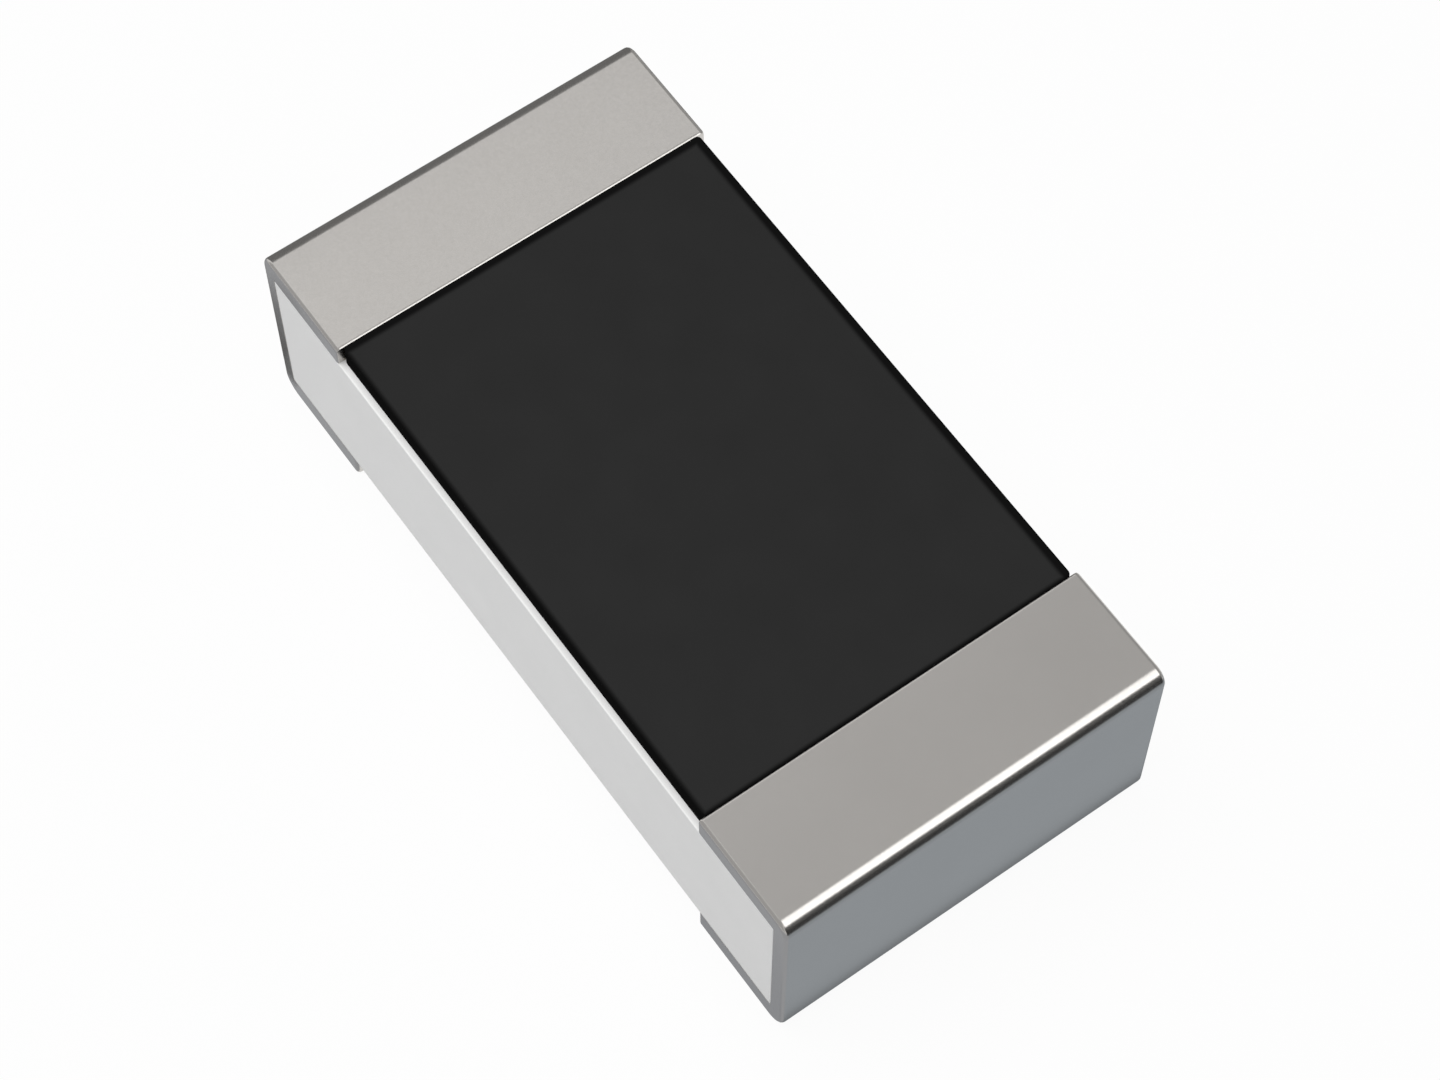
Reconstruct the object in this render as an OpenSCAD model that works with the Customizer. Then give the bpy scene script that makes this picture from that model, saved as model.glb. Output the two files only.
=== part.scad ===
// Thick-film chip resistor in the 1608 metric case, lying on its solder pads.
// X runs along the chip from end to end, Y across it and Z up. The origin is the middle of the chip,
// where a placing machine holds it.

/* [Chip] */
// Length over the two terminations
chip_l = 1.6; // [1.4:0.01:2]
// Width of the substrate and the terminations
chip_w = 0.8; // [0.7:0.01:1.2]
// Height over the terminations
chip_h = 0.46; // [0.35:0.01:0.65]

/* [Terminations] */
// Length of each termination on the top
top_band = 0.248; // [0.15:0.001:0.35]
// Length of each termination on the underside
bottom_band = 0.25; // [0.15:0.001:0.45]
// Outer radius where the termination bends over the top
top_bend_r = 0.03; // [0.012:0.001:0.08]
// Outer radius where the termination bends under the chip
bottom_bend_r = 0.042; // [0.012:0.001:0.08]
// Rounding of the tin's other edges
tin_edge_r = 0.009; // [0.002:0.001:0.01]
// Thickness of the tin plating
tin_t = 0.012; // [0.01:0.001:0.014]
// Thickness of the nickel barrier
nickel_t = 0.011; // [0.005:0.001:0.012]
// Thickness of the edge conductor
edge_t = 0.011; // [0.005:0.001:0.012]
// Thickness of the printed top conductors
top_conductor_t = 0.011; // [0.006:0.001:0.015]
// Thickness of the printed bottom conductors
bottom_conductor_t = 0.022; // [0.006:0.001:0.03]

/* [Resistor] */
// Width of the resistive film
film_w = 0.54; // [0.4:0.01:0.58]
// Thickness of the resistive film
film_t = 0.012; // [0.006:0.001:0.014]
// How far each top conductor reaches under the coat
tongue_l = 0.12; // [0.1:0.005:0.2]
// How much wider a conductor's tongue is than the film, on each side
tongue_margin = 0.015; // [0.005:0.005:0.02]
// How far the film laps over each tongue
film_lap = 0.06; // [0.03:0.005:0.065]
// Width of the laser trim cut
trim_w = 0.03; // [0.015:0.001:0.045]
// How far the trim cut reaches in from the film's edge
trim_reach = 0.3; // [0.1:0.01:0.35]
// Length of the trim cut's leg along the film
trim_leg = 0.22; // [0.1:0.01:0.3]
// Where the trim cut enters the film, from the middle of the chip
trim_x = -0.12; // [-0.2:0.01:0]

/* [Protection] */
// Thickness of the glass above the film's laps
glass_t = 0.011; // [0.004:0.001:0.012]
// How far the glass reaches past the film, along the chip and across it
glass_margin = 0.03; // [0.025:0.001:0.034]
// How far the coat stands above the terminations
coat_rise = 0.005; // [0.002:0.001:0.015]
// Bare strip of substrate on each side of the coat
coat_margin = 0.013; // [0.005:0.001:0.03]
// Rounding of the coat's upper edges
coat_edge_r = 0.009; // [0.006:0.001:0.02]
// Rounding of the coat's corners, seen from above
coat_corner_r = 0.01; // [0.008:0.001:0.04]

/* [Hidden] */
$fn = 48;
end_x = chip_l / 2;
side_y = chip_w / 2;
// The terminations' solder face and top, and the coat's top
under_z = -(chip_h + coat_rise) / 2;
band_top_z = under_z + chip_h;
coat_top_z = band_top_z + coat_rise;
// Depth of each layer's outer surface below the finished termination, on top, end, underside and sides
nickel_d = tin_t;
edge_d = nickel_d + nickel_t;
core_d = edge_d + edge_t;
conductor_w = chip_w - 2 * core_d;
// The top conductors and the substrate's two printed faces
pad_top_z = band_top_z - core_d;
ceramic_top_z = pad_top_z - top_conductor_t;
ceramic_bottom_z = under_z + core_d + bottom_conductor_t;
// Where the terminations stop, on the top and on the underside
top_stop_x = end_x - top_band;
bottom_stop_x = end_x - bottom_band;
// The film, from the tongues' inner ends outwards
tongue_w = film_w + 2 * tongue_margin;
tongue_end_x = top_stop_x - tongue_l;
film_end_x = tongue_end_x + film_lap;
film_top_z = pad_top_z + film_t;
glass_top_z = film_top_z + glass_t;
// How far a cutting shape overshoots what it cuts
cut_clear = 0.01;

// Rectangle with rounded corners, between two corner points. Without a radius its corners are sharp.
module rounded_area(low, high, r) {
    translate([low.x + r, low.y]) square([high.x - low.x - 2 * r, high.y - low.y]);
    if (r > 0) {
        translate([low.x, low.y + r]) square([high.x - low.x, high.y - low.y - 2 * r]);
        for (x = [low.x + r, high.x - r], y = [low.y + r, high.y - r])
            translate([x, y]) circle(r);
    }
}

// Rectangle of a lengthwise section, between two corner points in X and Z
module section_area(low, high) {
    translate(low) square(high - low);
}

// Extrudes a lengthwise section, drawn in X and Z, across a width centred on the chip
module across(width) {
    translate([0, width / 2, 0]) rotate([90, 0, 0]) linear_extrude(width) children();
}

// Lengthwise section of everything inside one layer's outer surface. A bend gets tighter with the depth
// and is sharp below its centre. Each of the two areas overshoots the end that the other one rounds.
module envelope(depth) {
    low = [-end_x + depth, under_z + depth];
    high = [end_x - depth, band_top_z - depth];
    intersection() {
        rounded_area(low, high + [0, chip_h], max(bottom_bend_r - depth, 0));
        rounded_area(low - [0, chip_h], high, max(top_bend_r - depth, 0));
    }
}

// Section of the right end that lies inside one layer's outer surface, where that layer covers it.
// Under the chip each layer also closes over the inner end of the one below it.
module covered(depth, top_start) {
    intersection() {
        envelope(depth);
        union() {
            section_area([top_start, 0], [end_x, band_top_z]);
            section_area([bottom_stop_x + depth, under_z], [end_x, 0]);
        }
    }
}

module ceramic_section() {
    intersection() {
        envelope(core_d);
        section_area([-end_x, ceramic_bottom_z], [end_x, ceramic_top_z]);
    }
}

// One wrap-around layer of the right termination: hooked over the top, the end and the underside.
// It also closes over the sides of the layer below it, so only the tin shows.
module wrap_layer(outer_d, inner_d) {
    difference() {
        across(chip_w - 2 * outer_d) covered(outer_d, top_stop_x);
        across(chip_w - 2 * inner_d) covered(inner_d, 0);
        across(chip_w) ceramic_section();
    }
}

// What is left outside a quarter-round edge whose corner lies at the origin, the piece being on +X and -Z
module edge_waste(r) {
    difference() {
        translate([-r, -r]) square(2 * r);
        translate([r, -r]) circle(r);
        translate([r, -2 * r]) square([r, 3 * r]);
    }
}

// The tongue of the right top conductor, from under the coat to the middle of the pad, up from a given height
module tongue(low_z) {
    translate([tongue_end_x, -tongue_w / 2, low_z])
        cube([tongue_l + top_band / 2, tongue_w, pad_top_z - low_z]);
}

// What the two tongues take out of the layers laid over them
module both_tongues() {
    for (turn = [0, 180]) rotate([0, 0, turn]) tongue(ceramic_top_z - cut_clear);
}

module top_conductor() {
    across(conductor_w) intersection() {
        envelope(core_d);
        section_area([top_stop_x, ceramic_top_z], [end_x, band_top_z]);
    }
    tongue(ceramic_top_z);
}

module bottom_conductor() {
    across(conductor_w) intersection() {
        envelope(core_d);
        section_area([bottom_stop_x + core_d, under_z], [end_x, ceramic_bottom_z]);
    }
}

module tin_plating() {
    intersection() {
        wrap_layer(0, nickel_d);
        across(chip_w) difference() {
            section_area([0, under_z], [end_x, band_top_z]);
            translate([top_stop_x, band_top_z]) edge_waste(tin_edge_r);
            translate([bottom_stop_x, under_z]) mirror([0, 1]) edge_waste(tin_edge_r);
        }
        rotate([90, 0, 90]) linear_extrude(end_x)
            rounded_area([-side_y, under_z], [side_y, band_top_z], tin_edge_r);
        translate([0, 0, under_z]) linear_extrude(chip_h)
            rounded_area([-end_x, -side_y], [end_x, side_y], tin_edge_r);
    }
}

// L-shaped laser cut that sets the resistance, through the film and the glass
module trim_cut() {
    entry_y = -film_w / 2 - glass_margin - cut_clear;
    turn_y = trim_reach - film_w / 2;
    cut_h = glass_top_z - ceramic_top_z + 2 * cut_clear;
    translate([trim_x - trim_w / 2, 0, ceramic_top_z - cut_clear]) linear_extrude(cut_h) {
        translate([0, entry_y]) square([trim_w, turn_y - entry_y]);
        translate([0, turn_y - trim_w]) square([trim_leg, trim_w]);
    }
}

// The film before trimming, flat on the substrate and stepped up at both ends, with the tongues still in it
module film_blank() {
    pocket_x = tongue_end_x - film_t;
    blank_h = film_top_z - ceramic_top_z;
    difference() {
        translate([-film_end_x, -film_w / 2, ceramic_top_z]) cube([2 * film_end_x, film_w, blank_h]);
        translate([-pocket_x, -film_w / 2 - cut_clear, ceramic_top_z + film_t])
            cube([2 * pocket_x, film_w + 2 * cut_clear, blank_h]);
    }
}

// The glass before trimming: a block over the film, flat on top, up from a given height
module glass_blank(low_z) {
    glass_x = film_end_x + glass_margin;
    glass_y = film_w / 2 + glass_margin;
    translate([-glass_x, -glass_y, low_z]) cube([2 * glass_x, 2 * glass_y, glass_top_z - low_z]);
}

module ceramic_substrate() {
    color("whitesmoke") across(chip_w) ceramic_section();
}

module top_conductor_right() {
    color("lightgray") top_conductor();
}

module top_conductor_left() {
    rotate([0, 0, 180]) top_conductor_right();
}

module bottom_conductor_right() {
    color("lightgray") bottom_conductor();
}

module bottom_conductor_left() {
    rotate([0, 0, 180]) bottom_conductor_right();
}

module resistive_film() {
    color("darkslategray") difference() {
        film_blank();
        both_tongues();
        trim_cut();
    }
}

module glass_layer() {
    color("darkseagreen") difference() {
        glass_blank(ceramic_top_z);
        film_blank();
        both_tongues();
        trim_cut();
    }
}

// The coat covers the glass and the tongues, and fills the trim cut
module protective_coat() {
    coat_y = side_y - coat_margin;
    coat_low_z = ceramic_top_z - coat_edge_r;
    color([0.18, 0.18, 0.18]) difference() {
        intersection() {
            across(2 * coat_y)
                rounded_area([-top_stop_x, coat_low_z], [top_stop_x, coat_top_z], coat_edge_r);
            translate([-top_stop_x, 0, 0]) rotate([90, 0, 90]) linear_extrude(2 * top_stop_x)
                rounded_area([-coat_y, coat_low_z], [coat_y, coat_top_z], coat_edge_r);
            translate([0, 0, ceramic_top_z]) linear_extrude(coat_top_z - ceramic_top_z)
                rounded_area([-top_stop_x, -coat_y], [top_stop_x, coat_y], coat_corner_r);
        }
        both_tongues();
        difference() {
            glass_blank(ceramic_top_z - cut_clear);
            trim_cut();
        }
    }
}

module edge_conductor_right() {
    color("silver") wrap_layer(edge_d, core_d);
}

module edge_conductor_left() {
    rotate([0, 0, 180]) edge_conductor_right();
}

module nickel_barrier_right() {
    color("tan") wrap_layer(nickel_d, edge_d);
}

module nickel_barrier_left() {
    rotate([0, 0, 180]) nickel_barrier_right();
}

module tin_plating_right() {
    color([0.64, 0.62, 0.6]) tin_plating();
}

module tin_plating_left() {
    rotate([0, 0, 180]) tin_plating_right();
}

ceramic_substrate();
top_conductor_left();
top_conductor_right();
bottom_conductor_left();
bottom_conductor_right();
resistive_film();
glass_layer();
protective_coat();
edge_conductor_left();
edge_conductor_right();
nickel_barrier_left();
nickel_barrier_right();
tin_plating_left();
tin_plating_right();
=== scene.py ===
import math

import bpy
from mathutils import Matrix, Vector


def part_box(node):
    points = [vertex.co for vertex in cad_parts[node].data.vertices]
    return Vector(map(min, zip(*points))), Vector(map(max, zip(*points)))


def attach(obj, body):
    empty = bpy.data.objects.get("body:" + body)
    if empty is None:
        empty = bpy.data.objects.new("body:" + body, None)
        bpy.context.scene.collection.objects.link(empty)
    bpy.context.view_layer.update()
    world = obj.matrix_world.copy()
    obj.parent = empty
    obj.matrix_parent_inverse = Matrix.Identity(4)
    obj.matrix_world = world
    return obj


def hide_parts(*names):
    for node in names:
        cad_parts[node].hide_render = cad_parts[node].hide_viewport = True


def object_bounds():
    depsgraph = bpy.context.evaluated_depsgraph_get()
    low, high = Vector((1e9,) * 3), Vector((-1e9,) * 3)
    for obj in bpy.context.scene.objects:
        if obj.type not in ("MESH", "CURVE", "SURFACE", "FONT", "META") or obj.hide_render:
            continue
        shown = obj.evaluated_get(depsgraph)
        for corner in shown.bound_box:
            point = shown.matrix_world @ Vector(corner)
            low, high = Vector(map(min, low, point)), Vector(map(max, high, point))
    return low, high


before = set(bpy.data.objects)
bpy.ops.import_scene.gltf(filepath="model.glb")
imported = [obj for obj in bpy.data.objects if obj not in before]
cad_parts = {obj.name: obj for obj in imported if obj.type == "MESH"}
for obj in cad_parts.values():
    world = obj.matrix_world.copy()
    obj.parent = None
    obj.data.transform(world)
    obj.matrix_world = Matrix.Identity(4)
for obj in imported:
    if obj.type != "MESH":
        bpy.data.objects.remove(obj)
cad_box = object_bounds()

# Ceramic substrate: a block of white alumina, pressed and fired as a scored sheet, printed on both
# faces and snapped apart into chips. Its broken long sides are left bare, with a slightly rough grain.
MM = 0.001
MICRON = 0.001 * MM
ceramic_low, ceramic_high = [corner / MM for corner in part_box("ceramic_substrate")]
chip_w = ceramic_high.y - ceramic_low.y
ceramic_edge_r = 0.003
arc_steps = 14
cut_clear = 0.02
weld_gap = 1e-5
bevel_from = math.radians(40)
sharp_from = math.radians(35)
noise_low, noise_high = 0.3, 0.7


def add_node(tree, kind, inputs=None, **settings):
    """Adds a node to a tree, with its settings, and sets or links its named inputs."""
    node = tree.nodes.new(kind)
    for name, value in settings.items():
        setattr(node, name, value)
    for name, value in (inputs or {}).items():
        if isinstance(value, bpy.types.NodeSocket):
            tree.links.new(value, node.inputs[name])
        else:
            node.inputs[name].default_value = value
    return node


def swept_outline_tree():
    """Rounds the corners of a closed outline in X and Y, fills it and thickens it along Z."""
    tree = bpy.data.node_groups.new("swept_outline", "GeometryNodeTree")
    face = tree.interface
    kinds = {"Outline": "Geometry", "Depth": "Float", "Arc steps": "Int", "Finish": "Material"}
    for name, kind in kinds.items():
        face.new_socket(name, in_out="INPUT", socket_type="NodeSocket" + kind)
    face.new_socket("Layer", in_out="OUTPUT", socket_type="NodeSocketGeometry")
    given = add_node(tree, "NodeGroupInput").outputs
    path = add_node(tree, "GeometryNodeMeshToCurve", {"Mesh": given["Outline"]})
    radius = add_node(
        tree, "GeometryNodeInputNamedAttribute", {"Name": "corner_radius"}, data_type="FLOAT")
    rounded = add_node(tree, "GeometryNodeFilletCurve", {
        "Curve": path.outputs["Curve"],
        "Count": given["Arc steps"],
        "Radius": radius.outputs["Attribute"],
    }, mode="POLY")
    base_face = add_node(
        tree, "GeometryNodeFillCurve", {"Curve": rounded.outputs["Curve"]}, mode="NGONS")
    walls = add_node(tree, "GeometryNodeExtrudeMesh", {
        "Mesh": base_face.outputs["Mesh"],
        "Offset Scale": given["Depth"],
    }, mode="FACES")
    flipped = add_node(tree, "GeometryNodeFlipFaces", {"Mesh": base_face.outputs["Mesh"]})
    whole = add_node(tree, "GeometryNodeJoinGeometry", {"Geometry": walls.outputs["Mesh"]})
    tree.links.new(flipped.outputs["Mesh"], whole.inputs["Geometry"])
    closed = add_node(tree, "GeometryNodeMergeByDistance", {
        "Geometry": whole.outputs["Geometry"],
        "Distance": weld_gap,
    })
    real = add_node(tree, "GeometryNodeRealizeInstances", {"Geometry": closed.outputs["Geometry"]})
    dressed = add_node(tree, "GeometryNodeSetMaterial", {
        "Geometry": real.outputs["Geometry"],
        "Material": given["Finish"],
    })
    add_node(tree, "NodeGroupOutput", {"Layer": dressed.outputs["Geometry"]})
    return tree


swept_outline = swept_outline_tree()


def baked(piece):
    """Makes what a piece's modifiers give its own plain mesh."""
    bpy.context.view_layer.update()
    shown = piece.evaluated_get(bpy.context.evaluated_depsgraph_get())
    mesh = bpy.data.meshes.new_from_object(shown)
    piece.modifiers.clear()
    piece.data = mesh
    return piece


def swept(name, corners, low, high, finish):
    """A plate in millimetres between two heights, from its outline's corners as (x, y, rounding)."""
    outline = bpy.data.meshes.new(name)
    sides = [(i, (i + 1) % len(corners)) for i in range(len(corners))]
    outline.from_pydata([(x, y, 0) for x, y, rounding in corners], sides, [])
    radius = outline.attributes.new("corner_radius", "FLOAT", "POINT")
    radius.data.foreach_set("value", [rounding for x, y, rounding in corners])
    piece = bpy.data.objects.new(name, outline)
    bpy.context.scene.collection.objects.link(piece)
    sweep = piece.modifiers.new("sweep", "NODES")
    sweep.node_group = swept_outline
    values = {"Depth": high - low, "Arc steps": arc_steps, "Finish": finish}
    for socket in swept_outline.interface.items_tree:
        if socket.name in values:
            sweep[socket.identifier] = values[socket.name]
    baked(piece).data.transform(Matrix.Translation((0, 0, low)))
    return piece


def swept_across(name, corners, width, finish):
    """A layer whose lengthwise section, drawn in X and Z, runs across the chip over a width."""
    piece = swept(name, corners, 0, width, finish)
    upright = Matrix.Rotation(math.radians(90), 4, "X")
    piece.data.transform(Matrix.Translation((0, width / 2, 0)) @ upright)
    return piece


def soften(piece, edge_r, steps):
    """Rounds a piece's sharp edges."""
    bevel = piece.modifiers.new("soft_edges", "BEVEL")
    bevel.width = edge_r
    bevel.segments = steps
    bevel.limit_method = "ANGLE"
    bevel.angle_limit = bevel_from
    bevel.use_clamp_overlap = False
    return baked(piece)


def settle(piece, node):
    """Shades a piece with flat flats and smooth bends, scales it and puts it in its node's place."""
    piece.data.shade_smooth()
    piece.data.set_sharp_from_angle(angle=sharp_from)
    piece.modifiers.new("flat_flats", "WEIGHTED_NORMAL").keep_sharp = True
    baked(piece)
    piece.data.transform(Matrix.Scale(MM, 4))
    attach(piece, "root")
    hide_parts(node)


def surface_grain_group():
    """Two noises over a surface: a fine grain, and slow patches where the finish differs."""
    tree = bpy.data.node_groups.new("surface_grain", "ShaderNodeTree")
    face = tree.interface
    for name in ("Grain size", "Patch size"):
        face.new_socket(name, in_out="INPUT", socket_type="NodeSocketFloat")
    for name in ("Grain", "Patches"):
        face.new_socket(name, in_out="OUTPUT", socket_type="NodeSocketFloat")
    given = add_node(tree, "NodeGroupInput").outputs
    place = add_node(tree, "ShaderNodeTexCoord").outputs["Object"]
    noises = {}
    for output, size, detail in (("Grain", "Grain size", 3.0), ("Patches", "Patch size", 2.0)):
        scale = add_node(tree, "ShaderNodeMath", {0: 1.0, 1: given[size]}, operation="DIVIDE")
        noise = add_node(tree, "ShaderNodeTexNoise", {
            "Vector": place,
            "Scale": scale.outputs["Value"],
            "Detail": detail,
        })
        noises[output] = noise.outputs["Fac"]
    add_node(tree, "NodeGroupOutput", noises)
    return tree


surface_grain = surface_grain_group()


def grained_material(name, grain, patch, dark, light, smooth, rough, relief, **constants):
    """A material with patchy colour and a grain in its roughness and relief, with sizes in microns."""
    material = bpy.data.materials.new(name)
    material.use_nodes = True
    tree = material.node_tree
    shader = tree.nodes["Principled BSDF"]
    for socket, value in constants.items():
        shader.inputs[socket.replace("_", " ")].default_value = value
    texture = add_node(tree, "ShaderNodeGroup", node_tree=surface_grain)
    texture.inputs["Grain size"].default_value = grain * MICRON
    texture.inputs["Patch size"].default_value = patch * MICRON
    colour = add_node(tree, "ShaderNodeMixRGB", {
        "Fac": texture.outputs["Patches"],
        "Color1": (*dark, 1),
        "Color2": (*light, 1),
    })
    tree.links.new(colour.outputs["Color"], shader.inputs["Base Color"])
    gloss = add_node(tree, "ShaderNodeMapRange", {
        "Value": texture.outputs["Grain"],
        "From Min": noise_low,
        "From Max": noise_high,
        "To Min": smooth,
        "To Max": rough,
    })
    tree.links.new(gloss.outputs["Result"], shader.inputs["Roughness"])
    bump = add_node(tree, "ShaderNodeBump", {
        "Strength": 1.0,
        "Distance": relief * MICRON,
        "Height": texture.outputs["Grain"],
    })
    tree.links.new(bump.outputs["Normal"], shader.inputs["Normal"])
    return material


alumina = grained_material(
    "alumina", grain=6, patch=140, dark=(0.87, 0.87, 0.865), light=(0.92, 0.92, 0.915),
    smooth=0.5, rough=0.7, relief=0.25)


def ceramic_section():
    """The substrate's lengthwise section, a plain rectangle."""
    low, high = ceramic_low, ceramic_high
    return [(low.x, low.z, 0), (high.x, low.z, 0), (high.x, high.z, 0), (low.x, high.z, 0)]


substrate = swept_across("substrate_block", ceramic_section(), chip_w, alumina)
soften(substrate, ceramic_edge_r, steps=3)
settle(substrate, "ceramic_substrate")

# Printed conductors: silver paste, screen printed on both faces of the substrate and fired. The top
# ones carry a tongue under the coat for the film, and the bottom ones lie under the solder pads.
silver_print = grained_material(
    "silver_print", grain=5, patch=60, dark=(0.66, 0.65, 0.62), light=(0.76, 0.75, 0.72),
    smooth=0.35, rough=0.55, relief=0.5, Metallic=1.0)
for name in ("top_conductor", "bottom_conductor"):
    for end in ("_left", "_right"):
        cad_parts[name + end].material_slots[0].material = silver_print

# Resistive film: ruthenium oxide paste, printed over the two tongues and fired. A laser has cut an
# L into it to bring the resistance to its value.
film_black = grained_material(
    "resistive_film", grain=4, patch=50, dark=(0.03, 0.033, 0.035), light=(0.05, 0.054, 0.055),
    smooth=0.4, rough=0.6, relief=0.4)
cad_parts["resistive_film"].material_slots[0].material = film_black

# Glass layer: a thin glass, printed over the film and fired before the trimming. The laser cuts
# through it, so it carries the same L, and the coat covers it.
inner_glass = grained_material(
    "inner_glass", grain=9, patch=80, dark=(0.30, 0.38, 0.32), light=(0.40, 0.48, 0.42),
    smooth=0.12, rough=0.25, relief=0.1)
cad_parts["glass_layer"].material_slots[0].material = inner_glass

# Protective coat: black resin, screen printed over the glass and cured. It runs softly down at its
# edges, fills the trim cut and leaves a narrow strip of bare substrate on each side.
coat_low, coat_high = [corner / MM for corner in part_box("protective_coat")]
glass_low, glass_high = [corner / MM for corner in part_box("glass_layer")]
film_low, film_high = [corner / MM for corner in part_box("resistive_film")]
tongue_low, tongue_high = [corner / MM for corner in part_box("top_conductor_right")]
coat_edge_r = 0.009
coat_corner_r = 0.01
tongue_margin = 0.015
trim_x = -0.12
trim_w = 0.03
trim_reach = 0.3
trim_leg = 0.22
# The rim widths, the rim's shift towards the front right and its near-black colour paint shade round
# the coat's edge.
rim_w = 0.017
rim_core_w = 0.006
rim_shade_shift = (0.007, -0.007, 0)
rim_shade_black = (0.006, 0.006, 0.006)
coat_gloss = 0.26
coat_black = grained_material(
    "coat_black", grain=7, patch=120, dark=(0.0165, 0.0165, 0.0165), light=(0.0207, 0.0207, 0.0207),
    smooth=0.5, rough=0.62, relief=0.25, Specular_IOR_Level=0.0, Coat_Roughness=0.56)


def rim_shade_mask_group():
    """Mask of the painted rim shade, by how near a point of a flat layer lies to its outline: 1 in the
    rim's core, 0 inside the rim.
    """
    tree = bpy.data.node_groups.new("rim_shade_mask", "ShaderNodeTree")
    face = tree.interface
    for name in ("Half length", "Half width", "Core width", "Rim width"):
        face.new_socket(name, in_out="INPUT", socket_type="NodeSocketFloat")
    face.new_socket("Shift", in_out="INPUT", socket_type="NodeSocketVector")
    face.new_socket("Rim", in_out="OUTPUT", socket_type="NodeSocketFloat")
    given = add_node(tree, "NodeGroupInput").outputs
    place = add_node(tree, "ShaderNodeTexCoord").outputs["Object"]
    moved = add_node(
        tree, "ShaderNodeVectorMath", {0: place, 1: given["Shift"]}, operation="SUBTRACT")
    along = add_node(tree, "ShaderNodeSeparateXYZ", {"Vector": moved.outputs["Vector"]}).outputs
    insets = []
    for axis, half in (("X", "Half length"), ("Y", "Half width")):
        away = add_node(tree, "ShaderNodeMath", {0: along[axis]}, operation="ABSOLUTE")
        inset = add_node(
            tree, "ShaderNodeMath", {0: given[half], 1: away.outputs["Value"]}, operation="SUBTRACT")
        insets.append(inset.outputs["Value"])
    nearest = add_node(tree, "ShaderNodeMath", {0: insets[0], 1: insets[1]}, operation="MINIMUM")
    rim = add_node(tree, "ShaderNodeMapRange", {
        "Value": nearest.outputs["Value"],
        "From Min": given["Core width"],
        "From Max": given["Rim width"],
        "To Min": 1.0,
        "To Max": 0.0,
    }, interpolation_type="SMOOTHSTEP")
    add_node(tree, "NodeGroupOutput", {"Rim": rim.outputs["Result"]})
    return tree


def paint_rim_shade(material, half_length, half_width, gloss):
    """Paints shade on a layer's rim, by its outline: the colour goes nearly black there, and the rim
    is dull.
    """
    tree = material.node_tree
    shader = tree.nodes["Principled BSDF"]
    rim = add_node(tree, "ShaderNodeGroup", node_tree=rim_shade_mask_group())
    sizes = {
        "Half length": half_length,
        "Half width": half_width,
        "Core width": rim_core_w,
        "Rim width": rim_w,
    }
    for name, value in sizes.items():
        rim.inputs[name].default_value = value * MM
    rim.inputs["Shift"].default_value = Vector(rim_shade_shift) * MM
    colour = add_node(tree, "ShaderNodeMixRGB", {
        "Fac": rim.outputs["Rim"],
        "Color1": shader.inputs["Base Color"].links[0].from_socket,
        "Color2": (*rim_shade_black, 1),
    })
    tree.links.new(colour.outputs["Color"], shader.inputs["Base Color"])
    shine = add_node(tree, "ShaderNodeMapRange", {
        "Value": rim.outputs["Rim"],
        "To Min": gloss,
        "To Max": 0.0,
    })
    tree.links.new(shine.outputs["Result"], shader.inputs["Coat Weight"])


# Painted shade: the coat goes nearly black and dull round its rim.
paint_rim_shade(coat_black, coat_high.x, coat_high.y, coat_gloss)


def rectangle(low_x, low_y, high_x, high_y, rounding=0):
    """Corners of a rectangle, all with one rounding."""
    points = ((low_x, low_y), (high_x, low_y), (high_x, high_y), (low_x, high_y))
    return [(x, y, rounding) for x, y in points]


def trimmed_glass_outline():
    """The glass seen from above, with the L-shaped trim cut coming in from its front edge."""
    left = trim_x - trim_w / 2
    turn = film_low.y + trim_reach
    cut = [(left, glass_low.y), (left, turn), (left + trim_leg, turn),
           (left + trim_leg, turn - trim_w), (left + trim_w, turn - trim_w),
           (left + trim_w, glass_low.y)]
    rim = [(glass_high.x, glass_low.y), (glass_high.x, glass_high.y),
           (glass_low.x, glass_high.y), (glass_low.x, glass_low.y)]
    return [(x, y, 0) for x, y in cut + rim]


def cut_away(piece, cutters):
    """Takes the cutters out of a piece, one after the other."""
    for cutter in cutters:
        cut = piece.modifiers.new("cut", "BOOLEAN")
        cut.operation = "DIFFERENCE"
        cut.solver = "EXACT"
        cut.object = cutter
        baked(piece)
        bpy.data.objects.remove(cutter)


slab = rectangle(coat_low.x, coat_low.y, coat_high.x, coat_high.y, coat_corner_r)
slab_foot = ceramic_high.z - 2 * coat_edge_r
coat = swept("coat_slab", slab, slab_foot, coat_high.z, coat_black)
soften(coat, coat_edge_r, steps=6)
tongue_y = film_high.y + tongue_margin
below = slab_foot - coat_edge_r
past_end = coat_high.x + cut_clear
base = rectangle(-past_end, -chip_w, past_end, chip_w)
left_tongue = rectangle(-past_end, -tongue_y, -tongue_low.x, tongue_y)
right_tongue = rectangle(tongue_low.x, -tongue_y, past_end, tongue_y)
cut_away(coat, [
    swept("below_coat", base, below, ceramic_high.z, coat_black),
    swept("left_tongue", left_tongue, below, tongue_high.z, coat_black),
    swept("right_tongue", right_tongue, below, tongue_high.z, coat_black),
    swept("glass", trimmed_glass_outline(), below, glass_high.z, coat_black),
])
settle(coat, "protective_coat")

# Edge conductors: a thin metal layer put round each end after snapping. It ties the top conductor to
# the bottom one and is the base that the platings grow on.
edge_metal = grained_material(
    "edge_metal", grain=4, patch=70, dark=(0.44, 0.43, 0.41), light=(0.52, 0.51, 0.49),
    smooth=0.3, rough=0.45, relief=0.3, Metallic=1.0)
for name in ("edge_conductor_left", "edge_conductor_right"):
    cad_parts[name].material_slots[0].material = edge_metal

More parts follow.
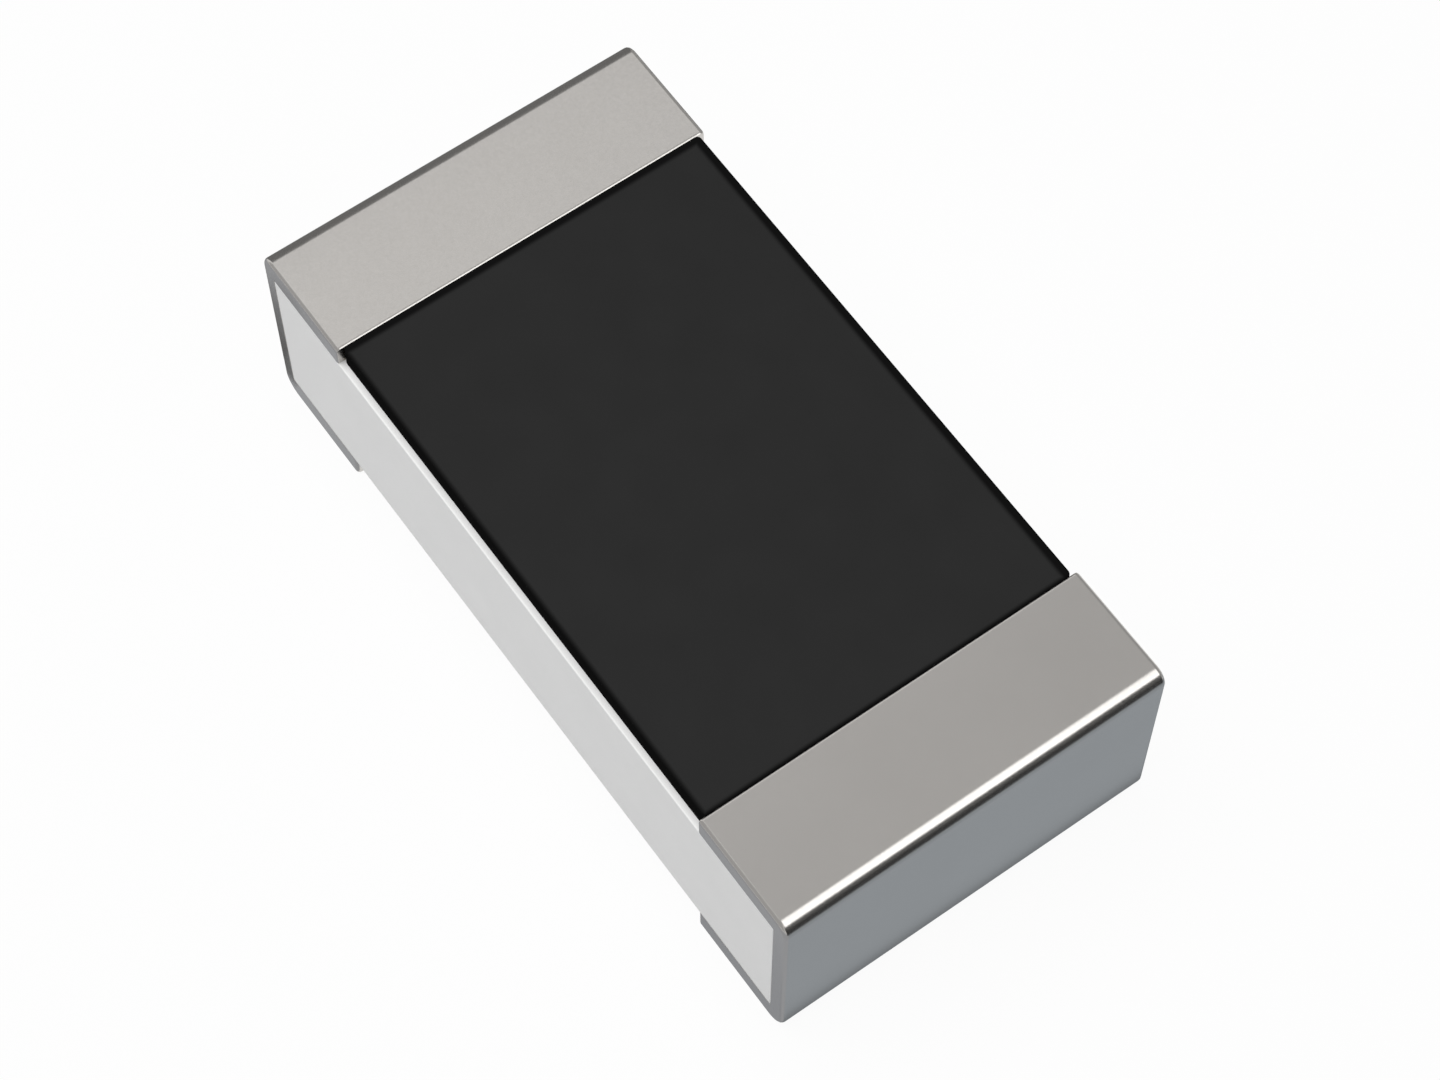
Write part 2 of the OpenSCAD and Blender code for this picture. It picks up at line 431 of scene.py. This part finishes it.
# Nickel barrier: a hard, warm grey metal, plated in a barrel over each edge conductor and the
# conductors it ties together. It keeps the solder from the silver.
nickel = grained_material(
    "nickel", grain=4, patch=90, dark=(0.38, 0.35, 0.31), light=(0.46, 0.43, 0.38),
    smooth=0.22, rough=0.35, relief=0.2, Metallic=1.0)
for name in ("nickel_barrier_left", "nickel_barrier_right"):
    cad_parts[name].material_slots[0].material = nickel

# Tin plating: the outer satin layer of each termination, plated over the nickel. It wraps over the
# top, round the end and under the chip, and closes over the sides of the layers below.
tin_low, tin_high = [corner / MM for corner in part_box("tin_plating_right")]
nickel_low, nickel_high = [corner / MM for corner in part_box("nickel_barrier_right")]
top_bend_r = 0.03
bottom_bend_r = 0.042
tin_edge_r = 0.009
inner_lap = 0.004
tin = grained_material(
    "tin", grain=5, patch=160, dark=(0.575, 0.555, 0.53), light=(0.605, 0.585, 0.56),
    smooth=0.23, rough=0.27, relief=0.03, Metallic=1.0)


def plating_section(top_start, low, high, depth):
    """Section of all that a plated layer of the right end encloses, at a depth below the outside."""
    return [(high.x, low.z, bottom_bend_r - depth), (high.x, high.z, top_bend_r - depth),
            (top_start, high.z, 0), (top_start, ceramic_high.z - cut_clear, 0),
            (low.x, ceramic_low.z + cut_clear, 0), (low.x, low.z, 0)]


tin_t = tin_high.x - nickel_high.x
outside = plating_section(coat_high.x - inner_lap, tin_low, tin_high, depth=0)
pocket = plating_section(coat_high.x - cut_clear, nickel_low, nickel_high, depth=tin_t)
coat_space = rectangle(0, -chip_w, coat_high.x, chip_w)
for side, turn in (("right", 0), ("left", 180)):
    plating = swept_across("tin_cap_" + side, outside, chip_w, tin)
    soften(plating, tin_edge_r, steps=4)
    cut_away(plating, [
        swept_across("pocket", pocket, nickel_high.y - nickel_low.y, tin),
        swept_across("substrate_room", ceramic_section(), 2 * chip_w, tin),
        swept("coat_room", coat_space, ceramic_high.z, coat_high.z, tin),
    ])
    plating.data.transform(Matrix.Rotation(math.radians(turn), 4, "Z"))
    settle(plating, "tin_plating_" + side)

# Floor: a wide sheet of plain white paper that the chip lies on. It is white to the camera, in
# mirrors and through glass, and a small share of it stays plain paper, which takes the shadow.
floor_z = cad_box[0].z / MM
floor_half = 60
paper_grey = (0.72, 0.72, 0.72)
shadow_share = 0.05


def seen_share(tree):
    """1 for rays from the camera, in a mirror or through glass, and 0 for all others."""
    ray = add_node(tree, "ShaderNodeLightPath").outputs
    share = ray["Is Camera Ray"]
    for kind in ("Is Glossy Ray", "Is Transmission Ray"):
        either = add_node(tree, "ShaderNodeMath", {0: share, 1: ray[kind]}, operation="MAXIMUM")
        share = either.outputs["Value"]
    return share


def empty_material(name):
    """A material with nothing but its output, whose glow is left to the rays that meet it."""
    material = bpy.data.materials.new(name)
    material.use_nodes = True
    material.cycles.emission_sampling = "NONE"
    material.node_tree.nodes.remove(material.node_tree.nodes["Principled BSDF"])
    return material


def stage_sheet(name, centre, across, up, finish):
    """A flat sheet of the stage, in millimetres, between its centre plus and minus two half edges."""
    centre, across, up = Vector(centre), Vector(across), Vector(up)
    corners = [centre - across - up, centre + across - up,
               centre + across + up, centre - across + up]
    mesh = bpy.data.meshes.new(name)
    mesh.from_pydata([corner * MM for corner in corners], [], [(0, 1, 2, 3)])
    mesh.materials.append(finish)
    sheet = bpy.data.objects.new(name, mesh)
    bpy.context.scene.collection.objects.link(sheet)
    return sheet


paper = empty_material("white_paper")
tree = paper.node_tree
plain = add_node(tree, "ShaderNodeBsdfDiffuse", {"Color": (*paper_grey, 1)})
glow = add_node(tree, "ShaderNodeEmission", {"Color": (1, 1, 1, 1), "Strength": 1.0})
white = add_node(tree, "ShaderNodeMapRange", {
    "Value": seen_share(tree),
    "To Max": 1 - shadow_share,
})
blend = add_node(tree, "ShaderNodeMixShader", {
    "Fac": white.outputs["Result"],
    1: plain.outputs["BSDF"],
    2: glow.outputs["Emission"],
})
tree.links.new(blend.outputs["Shader"], tree.nodes["Material Output"].inputs["Surface"])
stage_sheet("floor", (0, 0, floor_z), (floor_half, 0, 0), (0, floor_half, 0), paper)

# Studio: an even white room, a soft lamp above and a bright strip for the upper edge of the right end.
# Grey cards, which only the gloss of the chip shows, stand round it and lie on the floor: the near
# ones by the right end, the far ones by the left end. The ones on the floor are painted floor shade
# for the gloss to mirror, with thin darker lines close to the chip as painted contact shadow.
fill = 0.4
sheet_gap = 0.001
room = bpy.data.worlds.new("white_room")
bpy.context.scene.world = room
room.use_nodes = True
tree = room.node_tree
level = add_node(tree, "ShaderNodeMapRange", {
    "Value": seen_share(tree),
    "To Min": fill,
    "To Max": 1.0,
})
wall = tree.nodes["Background"]
wall.inputs["Color"].default_value = (1, 1, 1, 1)
tree.links.new(level.outputs["Result"], wall.inputs["Strength"])


def lamp(name, direction, distance, size, brightness, mirrored):
    """A rectangular lamp that faces the chip. A brightness of 1 is that of a white wall."""
    light = bpy.data.lights.new(name, "AREA")
    light.shape = "RECTANGLE"
    light.size, light.size_y = (edge * MM for edge in size)
    light.energy = brightness * math.pi * light.size * light.size_y
    piece = bpy.data.objects.new(name, light)
    bpy.context.scene.collection.objects.link(piece)
    back = Vector(direction).normalized()
    across = Vector((0, 1, 0)).cross(back).normalized()
    turn = Matrix((across, back.cross(across), back)).transposed().to_4x4()
    piece.matrix_world = Matrix.Translation(back * distance * MM) @ turn
    piece.visible_glossy = mirrored
    piece.visible_diffuse = not mirrored


def card(name, centre, across, up, tone):
    """A sheet of one tone that only the gloss of the chip shows."""
    finish = empty_material(name)
    tree = finish.node_tree
    grey = add_node(tree, "ShaderNodeEmission", {"Color": (*tone, 1), "Strength": 1.0})
    tree.links.new(grey.outputs["Emission"], tree.nodes["Material Output"].inputs["Surface"])
    sheet = stage_sheet(name, centre, across, up, finish)
    sheet.visible_camera = False
    sheet.visible_diffuse = False
    sheet.visible_transmission = False
    sheet.visible_shadow = False


lamp(
    "overhead_lamp", direction=(-0.15, -0.2, 0.93), distance=12, size=(10, 10),
    brightness=3.75, mirrored=False)
lamp(
    "edge_strip", direction=(0.511, 0.263, 0.818), distance=20, size=(21.3, 8),
    brightness=1.6, mirrored=True)
first_layer, second_layer, third_layer = (floor_z + sheet_gap * layer for layer in (1, 2, 3))
card("ceiling_card", (3.1, 12.9, 25), (14.1, 5.1, 0), (-7.5, 20.7, 0), (0.535, 0.535, 0.535))
card("front_card", (0, -6, 12.4), (10, 0, 0), (0, 0, 12.6), (0.5, 0.5, 0.5))
card("back_card", (-2, 6, 4.9), (8, 0, 0), (0, 0, 5.1), (0.42, 0.42, 0.42))
# Sheets and lines on the floor: painted floor shade, darkest by the chip as painted contact shadow,
# seen only in the gloss.
card("front_floor_shade", (0, -1.7, first_layer), (3, 0, 0), (0, 1.3, 0), (0.43, 0.445, 0.47))
card("front_contact_shadow", (0.525, -0.45, second_layer), (0.275, 0, 0), (0, 0.05, 0), (0.36, 0.375, 0.4))
card("near_card", (1.8, 0.3, 0.444), (0, 1.1, 0), (0, 0, 0.676), (0.045, 0.045, 0.045))
card("near_floor_shade", (1.31, 1.3, first_layer), (0.49, 0, 0), (0, 1.7, 0), (0.386, 0.422, 0.457))
card("near_contact_shadow", (0.79, 0.1, first_layer), (0.03, 0, 0), (0, 0.5, 0), (0.23, 0.25, 0.27))
card("far_card", (-4, 1, 2.134), (0, 2, 0), (0, 0, 2.366), (0.2, 0.2, 0.2))
card("far_floor_shade", (-2.425, 1.2625, second_layer), (1.575, 0, 0), (0, 1.7375, 0), (0.2, 0.2, 0.2))
card("far_contact_shadow", (-0.9, -0.452, third_layer), (0.045, 0, 0), (-0.08, -0.042, 0), (0.1, 0.1, 0.1))

# Camera: a long lens above the front corner of the right end, placed and turned so that the edges
# of the chip lie where the photograph shows them.
camera_at = Vector((2.4966, -1.7614, 5.8521))
camera_angles = (54.176, 62.747, 0.272)
focal_length = 91.9
sensor_w = 36
nearest_seen, farthest_seen = 0.1, 200
azimuth, elevation, roll = (math.radians(angle) for angle in camera_angles)
lens = bpy.data.cameras.new("photo_view")
lens.lens = focal_length
lens.sensor_width = sensor_w
lens.sensor_fit = "HORIZONTAL"
lens.clip_start = nearest_seen * MM
lens.clip_end = farthest_seen * MM
camera = bpy.data.objects.new("photo_view", lens)
bpy.context.scene.collection.objects.link(camera)
tilt = Matrix.Rotation(math.pi / 2 - elevation, 4, "X")
aim = Matrix.Rotation(azimuth, 4, "Z") @ tilt @ Matrix.Rotation(roll, 4, "Z")
camera.matrix_world = Matrix.Translation(camera_at * MM) @ aim
bpy.context.scene.camera = camera
bpy.context.scene.view_settings.view_transform = "Standard"
